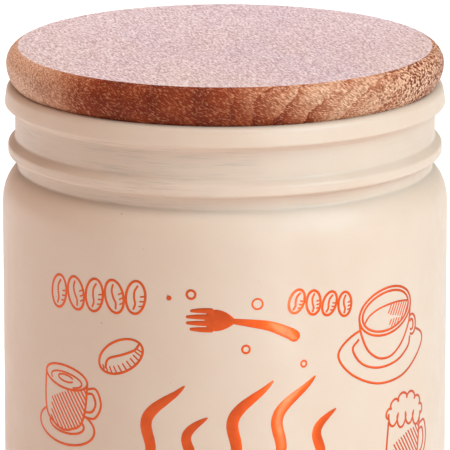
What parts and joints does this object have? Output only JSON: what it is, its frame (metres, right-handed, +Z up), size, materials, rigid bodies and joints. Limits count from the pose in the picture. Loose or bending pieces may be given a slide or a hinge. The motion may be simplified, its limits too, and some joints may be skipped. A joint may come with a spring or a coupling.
{
  "type": "coffee tin",
  "caption": "Round painted metal canister with a beaded neck, a seamed-on mouth ring and base, and a thick turned wooden lid that pushes in on a finned seal.",
  "frame": {"origin": "on the tin's axis, in the plane that the seamed foot stands on", "axes": "+Z up along the tin's axis, -Y out of the decorated front, +Y towards the welded side seam"},
  "size_m": [0.1, 0.1, 0.1345],
  "materials": {
    "cream_paint": "satin, faintly speckled",
    "ring_paint": "satin",
    "end_paint": "satin",
    "inner_lacquer": "clear food lacquer over tinplate",
    "copper_foil": "satin metallic foil print",
    "seam_compound": "matte",
    "lid_wood": "brushed face, oiled edge",
    "plug_wood": "sanded, unfinished",
    "silicone": "translucent, matte"
  },
  "bodies": {
    "tin": {"body_wall": "cream_paint", "bottom_end": "end_paint", "bottom_seam_compound": "seam_compound", "mouth_ring": "ring_paint", "mouth_seam_compound": "seam_compound"},
    "seal": {"seal_ring": "silicone"},
    "lid": {"lid_disc": "lid_wood", "lid_plug": "plug_wood"}
  },
  "joints": [
    {"name": "lid_lift", "type": "slide", "parent": "tin", "child": "seal", "axis": [0, 0, 1], "range_m": [0, 0.06]},
    {"name": "lid_turn", "type": "hinge", "parent": "seal", "child": "lid", "pos_m": [0, 0, 0.122], "axis": [0, 0, 1], "continuous": true}
  ]
}
